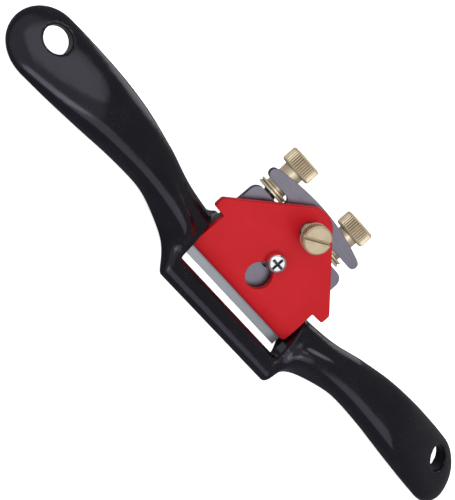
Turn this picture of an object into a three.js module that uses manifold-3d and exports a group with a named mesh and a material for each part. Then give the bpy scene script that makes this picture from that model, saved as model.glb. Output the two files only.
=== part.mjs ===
// Adjustable flat-soled spokeshave: a cast body with two handles, a 44 mm blade bedded at 45 degrees,
// a lever cap held by a centre screw and tightened by a thumb screw, and two knurled adjusting nuts
// on studs that set the blade's depth.
//
// Millimetres. +X runs along the handles, +Y from the toe towards the heel and +Z up from the sole.
// The part's origin is on the sole, in the middle of the toe. Pieces are drawn about the mouth, below
// the cutting edge, and the tool group moves them back to the origin.
// Pieces on the bed are drawn in bed space: x across, s up the blade from its cutting edge, and h
// square to the blade, with h = 0 on the blade's upper face. The bed group turns bed space into place.

import * as THREE from "three";
import { mergeVertices } from "three/addons/utils/BufferGeometryUtils.js";
import Module from "manifold-3d";

const wasm = await Module();
wasm.setup();

// ---------------------------------------------------------------- driving dimensions

const BED_ANGLE = Math.PI / 4; // the blade's rake above the sole
const EDGE_RISE = 0.15; // how far the cutting edge sits above the sole at rest
const TOE_TO_EDGE = 8; // from the middle of the toe back to the cutting edge
const GAP = 0.3; // running clearance between neighbouring pieces
const TINY = 0.01; // lets cutting tools pass a face cleanly

const BLADE_WIDTH = 44;
const BLADE_TAPER = 0.5; // each side is this much narrower at the notches than at the edge
const BLADE_THICKNESS = 2;
const BLADE_LENGTH = 39.4; // cutting edge to the crown of the rear edge
const BEVEL_ANGLE = THREE.MathUtils.degToRad(25);
const NOTCH_START = 29.8; // the side notches that take the nuts, as distances up the blade
const NOTCH_WIDTH = 3.6;
const NOTCH_INNER_X = 10.2;
const BLADE_SLOT_START = 14.4; // the slot round the centre screw
const BLADE_SLOT_END = 26;

const OVERALL_LENGTH = 210.8;
const CHEEK_INNER_X = 22.9; // inner faces of the two cheeks that flank the blade
const CHEEK_OUTER_X = 24.9;
const TOE_FRONT_Y = -13.5;
const TOE_NOSE = [TOE_FRONT_Y + 0.2, 2.2]; // where the toe's round front ends, as [y, z]
const TOE_FOOT = [TOE_FRONT_Y + 0.9, 0];
const MOUTH_FRONT_Y = -2.9;
const HEEL_REAR_Y = 15.2;
const HEEL_REAR_Z = 2.8;
const HEEL_EASE = 0.6;
const BED_TOP_S = 20.5; // the bed narrows in steps as it rises behind the blade
const BED_TOP_X = 19;
const BED_TOP_DEPTH = 5;
const BED_SHOULDER_S = 14.8;
const BED_SHOULDER_X = 22.6;
const BED_SHOULDER_DEPTH = 1.6;
const BED_FOOT_S = 12.7;
const BED_H = -BLADE_THICKNESS - GAP; // the milled bed, under the blade

const SCREW_S = 17.9; // centre screw, on the middle line
const SCREW_RADIUS = 2;
const SCREW_HEAD_RADIUS = 3.1;
const SCREW_TIP_H = -9.5;
const SCREW_BOSS_RADIUS = 4.6;
const SCREW_BOSS_END_H = -11;

const CAP_TOP_H = 3.4;
const CAP_PLATE_H = 1; // underside of the raised plate
const CAP_LIP_S = 3.1; // front edge of the lip that presses on the blade
const CAP_APEX_S = 39;
const KEYHOLE_S = 11.4;
const KEYHOLE_RADIUS = 4.3;

const THUMB_S = 31.5;
const THUMB_RADIUS = 2.5;
const THUMB_HEAD_RADIUS = 4.5;
const THUMB_HEAD_BOTTOM_H = 8.4;
const THUMB_HEAD_TOP_H = 12.6;

const STUD_X = 14;
const STUD_RADIUS = 2.5;
const STUD_H = -5.9; // stud and nut axis, below the blade
const STUD_START_S = 12;
const STUD_END_S = 43.6;
const STUD_BOSS_RADIUS = 4.4;
const STUD_BOSS_START_S = 14;
const STUD_BOSS_END_S = 22;
const TIP_CHAMFER = 0.5; // on the ends of the studs and the centre screw

const NUT_FLANGE_RADIUS = 5.1;
const NUT_NECK_RADIUS = 3.6;
const NUT_HEAD_RADIUS = 5.5;
const NUT_FLANGE_START_S = 30.6;
const NUT_FLANGE_END_S = 32.4;
const NUT_HEAD_START_S = 40.3;
const NUT_HEAD_END_S = 45.4;

const HOLE_RADIUS = 4.3; // hanging hole near each handle's end
const HOLE_CENTRE = new THREE.Vector3(92.7, 10.5, 8.6);
const HOLE_AXIS = new THREE.Vector3(0.12, -0.5, 0.86).normalize();

// ---------------------------------------------------------------- solids

// A closed geometry as a manifold-3d solid.
function toSolid(geometry) {
  const bare = geometry.clone();
  bare.deleteAttribute("normal");
  bare.deleteAttribute("uv");
  const merged = mergeVertices(bare, 1e-4);
  return new wasm.Manifold(
    new wasm.Mesh({
      numProp: 3,
      vertProperties: merged.attributes.position.array,
      triVerts: new Uint32Array(merged.index.array),
    }),
  );
}

// A manifold-3d solid as a three.js geometry.
function toGeometry(solid) {
  const mesh = solid.getMesh();
  const geometry = new THREE.BufferGeometry();
  const positions = new Float32Array(mesh.numVert * 3);
  for (let i = 0; i < mesh.numVert; i += 1) {
    const start = i * mesh.numProp;
    positions.set(mesh.vertProperties.subarray(start, start + 3), i * 3);
  }
  geometry.setAttribute("position", new THREE.BufferAttribute(positions, 3));
  geometry.setIndex(new THREE.BufferAttribute(new Uint32Array(mesh.triVerts), 1));
  const faceted = geometry.toNonIndexed();
  faceted.computeVertexNormals();
  return faceted;
}

function join(geometries) {
  return toGeometry(geometries.map(toSolid).reduce((a, b) => a.add(b)));
}

function cut(geometry, tools) {
  return toGeometry(tools.map(toSolid).reduce((a, b) => a.subtract(b), toSolid(geometry)));
}

function overlap(a, b) {
  return toGeometry(toSolid(a).intersect(toSolid(b)));
}

// Moves a geometry drawn in bed space to its place on the body.
function fromBedSpace(geometry) {
  return geometry.rotateX(BED_ANGLE).translate(0, 0, EDGE_RISE);
}

// A flat plate drawn in x and s, between two heights above the blade's face.
function plate(shape, bottom, top, curveSegments = 12) {
  const options = { depth: top - bottom, bevelEnabled: false, curveSegments };
  return new THREE.ExtrudeGeometry(shape, options).translate(0, 0, bottom);
}

// A bar along X whose outline is given as [first, second] pairs in the plane square to X.
function barAlongX(points, halfWidth) {
  const shape = new THREE.Shape(points.map(([a, b]) => new THREE.Vector2(a, b)));
  const options = { depth: 2 * halfWidth, bevelEnabled: false, curveSegments: 10 };
  const bar = new THREE.ExtrudeGeometry(shape, options).translate(0, 0, -halfWidth);
  return bar.rotateY(Math.PI / 2).rotateX(Math.PI / 2);
}

// A rod along s in bed space.
function rodAlongS(radius, start, end, x, h, segments = 24) {
  const rod = new THREE.CylinderGeometry(radius, radius, end - start, segments);
  return rod.translate(x, (start + end) / 2, h);
}

// A rod square to the blade in bed space.
function rodAlongH(radius, bottom, top, x, s, segments = 24) {
  const rod = new THREE.CylinderGeometry(radius, radius, top - bottom, segments);
  return rod.rotateX(Math.PI / 2).translate(x, s, (bottom + top) / 2);
}

// A turned piece whose profile is [radius, distance along the axis] pairs.
function turned(profile, segments = 32) {
  const points = profile.map(([radius, along]) => new THREE.Vector2(radius, along));
  return new THREE.LatheGeometry(points, segments);
}

// Points along a quadratic curve, without its first point.
function curvePoints(from, bend, to, count) {
  const vectors = [from, bend, to].map(([a, b]) => new THREE.Vector2(a, b));
  const curve = new THREE.QuadraticBezierCurve(...vectors);
  return curve.getPoints(count).slice(1).map((p) => [p.x, p.y]);
}

// ---------------------------------------------------------------- body casting

// The toe of the sole, a rounded bar in front of the mouth, as [y, z].
function toeBar() {
  const throatTop = [-5.1, 2.8];
  const crown = [-7.8, 4.4];
  const outline = [
    TOE_FOOT,
    [MOUTH_FRONT_Y, 0],
    throatTop,
    ...curvePoints(throatTop, [-6, crown[1] - 0.1], crown, 3),
    ...curvePoints(crown, [-11.8, crown[1]], TOE_NOSE, 5),
    [TOE_FRONT_Y, 1.2],
  ];
  return barAlongX(outline, (CHEEK_INNER_X + CHEEK_OUTER_X) / 2);
}

// The heel of the sole with the bed rising from it to topS, in [y, z].
function heelAndBed(topS, depth, halfWidth) {
  const onBody = (s, h) => [(s - h) * Math.SQRT1_2, (s + h) * Math.SQRT1_2 + EDGE_RISE];
  const mouthS = -BED_H - EDGE_RISE / Math.SQRT1_2;
  const outline = [
    onBody(mouthS, BED_H),
    [HEEL_REAR_Y - HEEL_EASE, 0],
    [HEEL_REAR_Y, HEEL_EASE],
    [HEEL_REAR_Y, HEEL_REAR_Z],
    onBody(topS, BED_H - depth),
    onBody(topS, BED_H),
  ];
  return barAlongX(outline, halfWidth);
}

// Bosses under the bed for the centre screw and the two studs.
function bedBosses() {
  const screwBoss = rodAlongH(SCREW_BOSS_RADIUS, SCREW_BOSS_END_H, BED_H - GAP, 0, SCREW_S);
  const studBosses = [-STUD_X, STUD_X].map((x) =>
    rodAlongS(STUD_BOSS_RADIUS, STUD_BOSS_START_S, STUD_BOSS_END_S, x, STUD_H),
  );
  return [screwBoss, ...studBosses].map(fromBedSpace);
}

// The side of the casting beside the blade, as [y, z] corners: sole, heel, bed end, rim and toe.
const CHEEK = [
  TOE_FOOT,
  [HEEL_REAR_Y - HEEL_EASE, 0],
  [HEEL_REAR_Y, HEEL_EASE],
  [HEEL_REAR_Y, HEEL_REAR_Z],
  [13.2, 5],
  [11.4, 7],
  [10, 8.5],
  [8.9, 9.4],
  [7.2, 10],
  [4, 9.9],
  [0.5, 9.1],
  [-2.6, 7.8],
  [-5.2, 6.2],
  [-7.4, 5.1],
  [-9.8, 4.5],
  [-12.2, 3.4],
  TOE_NOSE,
  [TOE_FRONT_Y, 1.2],
];
const CHEEK_CENTRE = new THREE.Vector2(2, 5);

// The handle beyond the cheek: place along X, centre in Y and Z, half width and half thickness.
const HANDLE_STATIONS = [
  [24, 2.4, 7.4, 8, 5],
  [36, 4.1, 7.9, 7.1, 5],
  [48, 5.5, 9.1, 7.8, 5],
  [60, 5.9, 10.2, 9.3, 5.2],
  [72, 5.5, 10.7, 10.5, 5.4],
  [84, 5.7, 10, 11.5, 4.1],
  [95, 6.5, 8.5, 11.9, 3],
  [OVERALL_LENGTH / 2, 7.2, 6.5, 11.9, 2.6],
];
const HANDLE_ROLL = THREE.MathUtils.degToRad(10); // the rear edge stands higher than the front
const HANDLE_SQUARENESS = 2.5; // 2 would be an ellipse
const END_RADIUS = 11.7; // the handle's end, seen from above
const END_THINNING = 5; // how late the end thins: 2 would make it a ball
const END_SMALLEST = 0.06; // share of the width and thickness left at the very end

// How the cheek's shape fades into the handle's. Y fades fastest towards the toe, and Z towards the rim.
const BLEND_END_X = 48;
const SLOWEST_FADE = 1.8;
const FADE_NARROWNESS = 6;
const FADE_Y = { angle: THREE.MathUtils.degToRad(180), gain: 9 };
const FADE_Z = { angle: THREE.MathUtils.degToRad(150), gain: 8 };
const UNDERSIDE_SINE = -0.5; // below this sine of the angle Z fades as the underside does
const UPPER_SINE = 0.3; // and above this one as the rim does

const SECTION_ANGLE_STEP = THREE.MathUtils.degToRad(11);
const SECTION_STEP = 5; // spacing of the sections along the handle
const BLEND_SECTIONS = 10;
const BLEND_CROWDING = 1.6; // crowds the blend's sections towards the cheek
const END_SECTIONS = 8;

// One column of the handle stations, smoothly interpolated at x.
function handleValue(x, column) {
  const points = HANDLE_STATIONS.map((row) => new THREE.Vector2(row[0], row[column]));
  const curve = new THREE.SplineCurve(points);
  const last = points.length - 1;
  const span = points.findIndex((p, i) => i > 0 && x <= p.x);
  const index = span < 0 ? last - 1 : span - 1;
  const local = (x - points[index].x) / (points[index + 1].x - points[index].x);
  return curve.getPoint((index + THREE.MathUtils.clamp(local, 0, 1)) / last).y;
}

// Distance from the cheek's centre to its outline at an angle.
function cheekRadius(angle) {
  const ray = new THREE.Vector2(Math.cos(angle), Math.sin(angle));
  for (let i = 0; i < CHEEK.length; i += 1) {
    const a = new THREE.Vector2(...CHEEK[i]).sub(CHEEK_CENTRE);
    const b = new THREE.Vector2(...CHEEK[(i + 1) % CHEEK.length]).sub(CHEEK_CENTRE);
    const side = b.clone().sub(a);
    const turn = ray.cross(side);
    const along = a.cross(ray) / turn;
    const reach = a.cross(side) / turn;
    if (reach > 0 && along >= -1e-9 && along <= 1 + 1e-9) return reach;
  }
  return 0;
}

// Distance from the handle's centre to its oval outline at an angle.
function ovalRadius(angle, halfWidth, halfThickness) {
  const turned = angle - HANDLE_ROLL;
  const across = Math.abs(Math.cos(turned) / halfWidth) ** HANDLE_SQUARENESS;
  const up = Math.abs(Math.sin(turned) / halfThickness) ** HANDLE_SQUARENESS;
  return (across + up) ** (-1 / HANDLE_SQUARENESS);
}

// How fast the cheek's shape fades into the handle's at an angle: fastest around the given one.
function fadeRate(angle, fastest) {
  const nearness = Math.max(0, Math.cos(angle - fastest.angle));
  return SLOWEST_FADE + fastest.gain * nearness ** FADE_NARROWNESS;
}

// Angles at which the sections are drawn: every corner of the cheek, and steps between them.
function sectionAngles() {
  const corners = CHEEK.map(([y, z]) => Math.atan2(z - CHEEK_CENTRE.y, y - CHEEK_CENTRE.x));
  const angles = [];
  corners.forEach((from, i) => {
    let to = corners[(i + 1) % corners.length];
    if (to < from) to += 2 * Math.PI;
    const steps = Math.ceil((to - from) / SECTION_ANGLE_STEP);
    for (let k = 0; k < steps; k += 1) angles.push(from + ((to - from) * k) / steps);
  });
  return angles;
}

// The closed outline of the cheek and handle at x, as [y, z] pairs.
function section(x, angles) {
  const tipX = OVERALL_LENGTH / 2;
  const pastEnd = Math.max(0, (x - (tipX - END_RADIUS)) / END_RADIUS);
  const narrowing = Math.sqrt(Math.max(0, 1 - pastEnd ** 2));
  const thinning = Math.sqrt(Math.max(0, 1 - pastEnd ** END_THINNING));
  const halfWidth = handleValue(x, 3) * Math.max(narrowing, END_SMALLEST);
  const halfThickness = handleValue(x, 4) * Math.max(thinning, END_SMALLEST);
  const faded = (x - CHEEK_OUTER_X) / (BLEND_END_X - CHEEK_OUTER_X);
  const left = 1 - THREE.MathUtils.clamp(faded, 0, 1);
  const eased = THREE.MathUtils.smoothstep(faded, 0, 1);
  return angles.map((angle) => {
    const shareY = 1 - left ** fadeRate(angle, FADE_Y);
    const quickZ = 1 - left ** fadeRate(angle, FADE_Z);
    const above = THREE.MathUtils.smoothstep(Math.sin(angle), UNDERSIDE_SINE, UPPER_SINE);
    const shareZ = THREE.MathUtils.lerp(eased, quickZ, above);
    const centreY = THREE.MathUtils.lerp(CHEEK_CENTRE.x, handleValue(x, 1), shareY);
    const centreZ = THREE.MathUtils.lerp(CHEEK_CENTRE.y, handleValue(x, 2), shareZ);
    const cheek = cheekRadius(angle);
    const oval = ovalRadius(angle, halfWidth, halfThickness);
    return [
      centreY + THREE.MathUtils.lerp(cheek, oval, shareY) * Math.cos(angle),
      centreZ + THREE.MathUtils.lerp(cheek, oval, shareZ) * Math.sin(angle),
    ];
  });
}

// Places along X where sections are drawn, closer together where the shape turns quickly.
function sectionPlaces() {
  const tipX = OVERALL_LENGTH / 2;
  const places = [CHEEK_INNER_X];
  for (let i = 0; i <= BLEND_SECTIONS; i += 1) {
    const share = (i / BLEND_SECTIONS) ** BLEND_CROWDING;
    places.push(CHEEK_OUTER_X + (BLEND_END_X - CHEEK_OUTER_X) * share);
  }
  const endStart = tipX - END_RADIUS;
  for (let x = BLEND_END_X + SECTION_STEP; x < endStart - 1; x += SECTION_STEP) places.push(x);
  for (let i = 0; i <= END_SECTIONS; i += 1) {
    places.push(endStart + END_RADIUS * Math.sin((i / END_SECTIONS) * (Math.PI / 2)));
  }
  return places;
}

// The right cheek and handle as one closed skin through the sections.
function cheekAndHandle() {
  const angles = sectionAngles();
  const rings = sectionPlaces().map((x) =>
    section(x, angles).map(([y, z]) => new THREE.Vector3(x, y, z)),
  );
  const positions = [];
  const triangle = (a, b, c) => [a, b, c].forEach((p) => positions.push(p.x, p.y, p.z));
  const middle = (ring) =>
    ring.reduce((sum, p) => sum.add(p), new THREE.Vector3()).divideScalar(ring.length);
  const count = angles.length;
  rings.slice(1).forEach((next, r) => {
    for (let i = 0; i < count; i += 1) {
      const j = (i + 1) % count;
      triangle(rings[r][i], rings[r][j], next[j]);
      triangle(rings[r][i], next[j], next[i]);
    }
  });
  const first = rings[0];
  const last = rings[rings.length - 1];
  const inner = new THREE.Vector3(first[0].x, CHEEK_CENTRE.x, CHEEK_CENTRE.y);
  const outer = middle(last);
  for (let i = 0; i < count; i += 1) {
    const j = (i + 1) % count;
    triangle(inner, first[j], first[i]);
    triangle(outer, last[i], last[j]);
  }
  const skin = new THREE.BufferGeometry();
  skin.setAttribute("position", new THREE.Float32BufferAttribute(positions, 3));
  return skin;
}

// The same skin on the other side, with its faces turned to point out again.
function mirrored(geometry) {
  const flipped = geometry.clone().scale(-1, 1, 1);
  const p = flipped.getAttribute("position");
  for (let i = 0; i < p.count; i += 3) {
    const [x, y, z] = [p.getX(i + 1), p.getY(i + 1), p.getZ(i + 1)];
    p.setXYZ(i + 1, p.getX(i + 2), p.getY(i + 2), p.getZ(i + 2));
    p.setXYZ(i + 2, x, y, z);
  }
  return flipped;
}

// The cutter that mills the bed flat behind the mouth, from one cheek to the other.
function milledBed() {
  const start = 6;
  const end = 30;
  const height = 14;
  const clear = new THREE.Shape([
    new THREE.Vector2(-CHEEK_INNER_X, start),
    new THREE.Vector2(CHEEK_INNER_X, start),
    new THREE.Vector2(CHEEK_INNER_X, end),
    new THREE.Vector2(-CHEEK_INNER_X, end),
  ]);
  return fromBedSpace(plate(clear, BED_H, BED_H + height));
}

// The cutter for the hanging hole on one side, slanting as the holes do.
function hangingHole(side) {
  const mirror = new THREE.Vector3(side, 1, 1);
  const axis = HOLE_AXIS.clone().multiply(mirror);
  const centre = HOLE_CENTRE.clone().multiply(mirror);
  const turn = new THREE.Quaternion().setFromUnitVectors(new THREE.Vector3(0, 1, 0), axis);
  const cutter = new THREE.CylinderGeometry(HOLE_RADIUS, HOLE_RADIUS, 4 * HOLE_RADIUS, 32);
  return cutter.applyQuaternion(turn).translate(centre.x, centre.y, centre.z);
}

function bodyCasting() {
  const right = cheekAndHandle();
  const whole = join([
    toeBar(),
    heelAndBed(BED_TOP_S, BED_TOP_DEPTH, BED_TOP_X),
    heelAndBed(BED_SHOULDER_S, BED_SHOULDER_DEPTH, BED_SHOULDER_X),
    heelAndBed(BED_FOOT_S, BED_SHOULDER_DEPTH, (CHEEK_INNER_X + CHEEK_OUTER_X) / 2),
    ...bedBosses(),
    right,
    mirrored(right),
  ]);
  const pastBody = 5;
  const screwRadius = SCREW_RADIUS + GAP;
  const screwBore = rodAlongH(screwRadius, SCREW_BOSS_END_H - pastBody, pastBody, 0, SCREW_S);
  const studBores = [-STUD_X, STUD_X].map((x) =>
    rodAlongS(STUD_RADIUS + GAP, STUD_START_S - GAP, STUD_BOSS_END_S + pastBody, x, STUD_H),
  );
  return cut(whole, [
    ...[screwBore, ...studBores].map(fromBedSpace),
    milledBed(),
    hangingHole(-1),
    hangingHole(1),
  ]);
}

// ---------------------------------------------------------------- blade

function bladeOutline() {
  const half = BLADE_WIDTH / 2;
  const corner = 3;
  const notchRadius = NOTCH_WIDTH / 2;
  const notchMiddle = NOTCH_START + notchRadius;
  const rearHalf = half - BLADE_TAPER;
  const tipRadius = 1.7;
  const tipX = rearHalf - tipRadius;
  const tipS = NOTCH_START + NOTCH_WIDTH + tipRadius;
  const crownRadius = 80;
  const crownTurn = Math.acos(tipX / (crownRadius - tipRadius));
  const quarter = Math.PI / 2;
  const shape = new THREE.Shape();
  shape.moveTo(-half, 0);
  shape.lineTo(half, 0);
  shape.absarc(rearHalf - corner, NOTCH_START - corner, corner, 0, quarter);
  shape.absarc(NOTCH_INNER_X + notchRadius, notchMiddle, notchRadius, -quarter, -3 * quarter, true);
  shape.absarc(tipX, tipS, tipRadius, -quarter, crownTurn);
  shape.absarc(0, BLADE_LENGTH - crownRadius, crownRadius, crownTurn, Math.PI - crownTurn);
  shape.absarc(-tipX, tipS, tipRadius, Math.PI - crownTurn, 3 * quarter);
  shape.absarc(-NOTCH_INNER_X - notchRadius, notchMiddle, notchRadius, quarter, -quarter, true);
  shape.absarc(corner - rearHalf, NOTCH_START - corner, corner, quarter, Math.PI);
  return shape;
}

// A slot with round ends along s.
function slotHole(radius, start, end) {
  const hole = new THREE.Path();
  hole.absarc(0, start + radius, radius, Math.PI, 2 * Math.PI);
  hole.absarc(0, end - radius, radius, 0, Math.PI);
  hole.closePath();
  return hole;
}

function blade() {
  const shape = bladeOutline();
  shape.holes.push(slotHole(SCREW_RADIUS + GAP, BLADE_SLOT_START, BLADE_SLOT_END));
  const slab = plate(shape, -BLADE_THICKNESS, 0);
  const slope = Math.tan(BEVEL_ANGLE);
  const edgeLand = 0.02;
  const front = -1;
  const back = 6;
  const below = -2 * BLADE_THICKNESS;
  const bevel = [
    [front, -front * slope - edgeLand],
    [front, below],
    [back, below],
    [back, -back * slope - edgeLand],
  ];
  return cut(slab, [barAlongX(bevel, BLADE_WIDTH)]);
}

// ---------------------------------------------------------------- lever cap

function capOutline() {
  const lipX = 22.4;
  const lipRound = 1.4;
  const waistX = 22;
  const waistS = 15.4;
  const shoulderX = 26.4;
  const shoulderS = waistS + 0.3;
  const shoulderRound = 0.9;
  const shoulderEnd = 19;
  const apexX = 3.6;
  const apexSide = CAP_APEX_S - 0.7;
  const lipCorner = [lipX, CAP_LIP_S];
  const lipStart = [lipX - lipRound, CAP_LIP_S];
  const shoulderCorner = [shoulderX, shoulderS];
  const shoulderStart = [shoulderX - shoulderRound, shoulderS];
  const right = [
    lipStart,
    ...curvePoints(lipStart, lipCorner, [lipX, CAP_LIP_S + lipRound], 4),
    [waistX, waistS],
    shoulderStart,
    ...curvePoints(shoulderStart, shoulderCorner, [shoulderX, shoulderS + shoulderRound], 4),
    [shoulderX, shoulderEnd],
    [apexX, apexSide],
    ...curvePoints([apexX, apexSide], [0.6 * apexX, CAP_APEX_S], [0, CAP_APEX_S], 5),
  ];
  const left = right.slice(0, -1).reverse().map(([x, s]) => [-x, s]);
  return new THREE.Shape([...right, ...left].map(([x, s]) => new THREE.Vector2(x, s)));
}

// The cap from the side, as [s, h]: a raised plate whose front curls down to a lip.
function capProfile() {
  const rearS = CAP_APEX_S + 1;
  const curlS = 8.5;
  const footS = 5.2;
  const lipTop = 1.3;
  const curlStart = [curlS, CAP_TOP_H];
  const curlEnd = [CAP_LIP_S + 0.2, lipTop + 0.7];
  return [
    [CAP_LIP_S - TINY, GAP],
    [footS, GAP],
    [curlS, CAP_PLATE_H],
    [rearS, CAP_PLATE_H],
    [rearS, CAP_TOP_H],
    curlStart,
    ...curvePoints(curlStart, [CAP_LIP_S + 1.3, CAP_TOP_H], curlEnd, 6),
    [CAP_LIP_S - TINY, lipTop],
  ];
}

function leverCap() {
  const shape = capOutline();
  const halfSlot = SCREW_RADIUS + GAP;
  const opening = Math.asin(halfSlot / KEYHOLE_RADIUS);
  const keyhole = new THREE.Path();
  keyhole.absarc(0, KEYHOLE_S, KEYHOLE_RADIUS, Math.PI / 2 + opening, 2.5 * Math.PI - opening);
  keyhole.absarc(0, SCREW_S, halfSlot, 0, Math.PI);
  keyhole.closePath();
  const thumbHole = new THREE.Path();
  thumbHole.absarc(0, THUMB_S, THUMB_RADIUS + GAP, 0, 2 * Math.PI);
  shape.holes.push(keyhole, thumbHole);
  const slab = plate(shape, 0, CAP_TOP_H + TINY);
  return overlap(slab, barAlongX(capProfile(), 40));
}

// ---------------------------------------------------------------- screws, nuts and studs

function thumbScrew() {
  const chamfer = 0.5;
  const tip = 0.6;
  const screw = turned([
    [0, GAP],
    [THUMB_RADIUS - tip, GAP],
    [THUMB_RADIUS, GAP + tip],
    [THUMB_RADIUS, THUMB_HEAD_BOTTOM_H],
    [THUMB_HEAD_RADIUS - chamfer, THUMB_HEAD_BOTTOM_H],
    [THUMB_HEAD_RADIUS, THUMB_HEAD_BOTTOM_H + chamfer],
    [THUMB_HEAD_RADIUS, THUMB_HEAD_TOP_H - chamfer],
    [THUMB_HEAD_RADIUS - chamfer, THUMB_HEAD_TOP_H],
    [0, THUMB_HEAD_TOP_H],
  ]);
  const slotWidth = 1.1;
  const slotDepth = 1.4;
  const slotTurn = THREE.MathUtils.degToRad(31);
  const slot = new THREE.BoxGeometry(4 * THUMB_HEAD_RADIUS, slotWidth, 2 * slotDepth);
  slot.rotateZ(slotTurn).translate(0, 0, THUMB_HEAD_TOP_H);
  return cut(screw.rotateX(Math.PI / 2), [slot]);
}

function centreScrew() {
  const headBottom = CAP_TOP_H + GAP;
  const headTop = headBottom + 2.5;
  const domeStart = [SCREW_HEAD_RADIUS, headBottom + 1.5];
  const domeEnd = [1.2, headTop];
  const screw = turned([
    [0, SCREW_TIP_H],
    [SCREW_RADIUS - TIP_CHAMFER, SCREW_TIP_H],
    [SCREW_RADIUS, SCREW_TIP_H + TIP_CHAMFER],
    [SCREW_RADIUS, headBottom],
    [SCREW_HEAD_RADIUS, headBottom],
    domeStart,
    ...curvePoints(domeStart, [SCREW_HEAD_RADIUS - 0.3, headTop], domeEnd, 6),
    [0, headTop],
  ]);
  const recessLength = 3.8;
  const recessWidth = 0.95;
  const recessDepth = 1.5;
  const arms = [0, Math.PI / 2].map((turn) =>
    new THREE.BoxGeometry(recessLength, recessWidth, 2 * recessDepth)
      .rotateZ(turn)
      .translate(0, 0, headTop),
  );
  return cut(screw.rotateX(Math.PI / 2), arms);
}

function adjustingNut() {
  const chamfer = 0.6;
  const flangeEase = 0.3;
  const nut = turned([
    [0, NUT_FLANGE_START_S],
    [NUT_FLANGE_RADIUS - flangeEase, NUT_FLANGE_START_S],
    [NUT_FLANGE_RADIUS, NUT_FLANGE_START_S + flangeEase],
    [NUT_FLANGE_RADIUS, NUT_FLANGE_END_S - flangeEase],
    [NUT_FLANGE_RADIUS - flangeEase, NUT_FLANGE_END_S],
    [NUT_NECK_RADIUS, NUT_FLANGE_END_S],
    [NUT_NECK_RADIUS, NUT_HEAD_START_S],
    [NUT_HEAD_RADIUS - chamfer, NUT_HEAD_START_S],
    [NUT_HEAD_RADIUS, NUT_HEAD_START_S + chamfer],
    [NUT_HEAD_RADIUS, NUT_HEAD_END_S - chamfer],
    [NUT_HEAD_RADIUS - chamfer, NUT_HEAD_END_S],
    [0, NUT_HEAD_END_S],
  ]);
  const past = 5;
  const bore = [NUT_FLANGE_START_S - past, NUT_HEAD_END_S + past];
  return cut(nut, [rodAlongS(STUD_RADIUS + GAP, ...bore, 0, 0)]);
}

function stud() {
  return turned(
    [
      [0, STUD_START_S],
      [STUD_RADIUS - TIP_CHAMFER, STUD_START_S],
      [STUD_RADIUS, STUD_START_S + TIP_CHAMFER],
      [STUD_RADIUS, STUD_END_S - TIP_CHAMFER],
      [STUD_RADIUS - TIP_CHAMFER, STUD_END_S],
      [0, STUD_END_S],
    ],
    24,
  );
}

// ---------------------------------------------------------------- materials

const BLACK_ENAMEL = new THREE.MeshStandardMaterial({ color: 0x17161a, roughness: 0.25, metalness: 0 });
const GROUND_STEEL = new THREE.MeshStandardMaterial({ color: 0x86838f, roughness: 0.38, metalness: 1 });
const RED_ENAMEL = new THREE.MeshStandardMaterial({ color: 0xc4202a, roughness: 0.35, metalness: 0 });
const BRASS = new THREE.MeshStandardMaterial({ color: 0xc9ad78, roughness: 0.3, metalness: 1 });
const ZINC_PLATE = new THREE.MeshStandardMaterial({ color: 0xdde0e4, roughness: 0.15, metalness: 1 });

function piece(name, geometry, material) {
  const mesh = new THREE.Mesh(geometry, material.clone());
  mesh.name = name;
  return mesh;
}

// ---------------------------------------------------------------- assembly

const spokeshave = new THREE.Group();
const tool = new THREE.Group();
tool.position.y = TOE_TO_EDGE;
spokeshave.add(tool);
tool.add(piece("body_casting", bodyCasting(), BLACK_ENAMEL));

const bed = new THREE.Group();
bed.rotation.x = BED_ANGLE;
bed.position.z = EDGE_RISE;
tool.add(bed);

bed.add(piece("blade", blade(), GROUND_STEEL));
bed.add(piece("lever_cap", leverCap(), RED_ENAMEL));

const thumb = piece("thumb_screw", thumbScrew(), BRASS);
thumb.position.y = THUMB_S;
bed.add(thumb);

const centre = piece("centre_screw", centreScrew(), ZINC_PLATE);
centre.position.y = SCREW_S;
bed.add(centre);

for (const [side, x] of [["left", -STUD_X], ["right", STUD_X]]) {
  const nut = piece("adjusting_nut_" + side, adjustingNut(), BRASS);
  nut.position.set(x, 0, STUD_H);
  bed.add(nut);
  const rod = piece("stud_" + side, stud(), GROUND_STEEL);
  rod.position.set(x, 0, STUD_H);
  bed.add(rod);
}

export default spokeshave;
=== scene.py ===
"""Looks for an adjustable flat-soled spokeshave: glossy black casting, steel blade, red lever cap,
knurled brass nuts and thumb screw, plated centre screw.

Meshes are drawn in millimetres and scaled to metres when they are finished. Pieces on the bed are
drawn in bed space: x across, s up the blade from its cutting edge, h square to the blade.
"""
import math

import bmesh
import bpy
import numpy as np
from mathutils import Matrix, Vector
from mathutils.geometry import tessellate_polygon


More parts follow.
